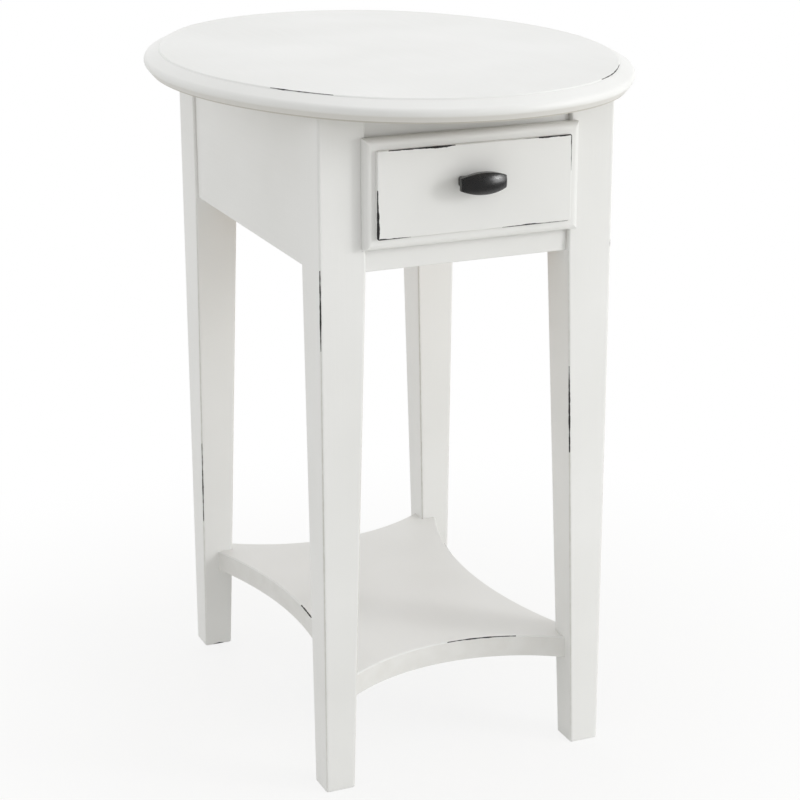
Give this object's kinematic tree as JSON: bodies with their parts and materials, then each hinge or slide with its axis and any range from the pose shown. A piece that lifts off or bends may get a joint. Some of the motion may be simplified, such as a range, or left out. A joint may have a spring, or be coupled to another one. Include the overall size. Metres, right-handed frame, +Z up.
{
  "type": "side table with drawer",
  "caption": "Oval-topped side table on square tapered legs, with a lipped drawer with a dark bar knob, and a hollow-sided lower shelf, in rubbed white paint.",
  "frame": {"origin": "on the floor under the middle of the table", "axes": "+Z up, the drawer opens towards -Y, +X to the right of a person facing the drawer"},
  "size_m": [0.4418, 0.5648, 0.66],
  "materials": {
    "painted_wood": "satin antique white paint, rubbed through to a charcoal undercoat on some arrises",
    "bare_wood": "planed hardwood with a thin clear sealer",
    "dark_bronze": "near-black oil-rubbed bronze over cast metal, satin",
    "plated_steel": "zinc-plated steel"
  },
  "bodies": {
    "frame": {"table_top": "painted_wood", "front_left_leg": "painted_wood", "front_right_leg": "painted_wood", "rear_left_leg": "painted_wood", "rear_right_leg": "painted_wood", "left_apron": "painted_wood", "right_apron": "painted_wood", "rear_apron": "painted_wood", "front_top_rail": "painted_wood", "front_bottom_rail": "painted_wood", "shelf": "painted_wood", "left_runner": "bare_wood", "right_runner": "bare_wood", "left_guide": "bare_wood", "right_guide": "bare_wood", "left_kicker": "bare_wood", "right_kicker": "bare_wood", "top_screws": "plated_steel", "shelf_tenons": "bare_wood"},
    "drawer": {"drawer_front": "painted_wood", "drawer_left_side": "bare_wood", "drawer_right_side": "bare_wood", "drawer_back": "bare_wood", "drawer_bottom": "bare_wood", "drawer_stop": "bare_wood", "drawer_stop_screw": "plated_steel", "knob": "dark_bronze", "knob_screw": "plated_steel"}
  },
  "joints": [
    {"name": "drawer_slide", "type": "slide", "parent": "frame", "child": "drawer", "axis": [0, -1, 0], "range_m": [0, 0.3227]}
  ]
}
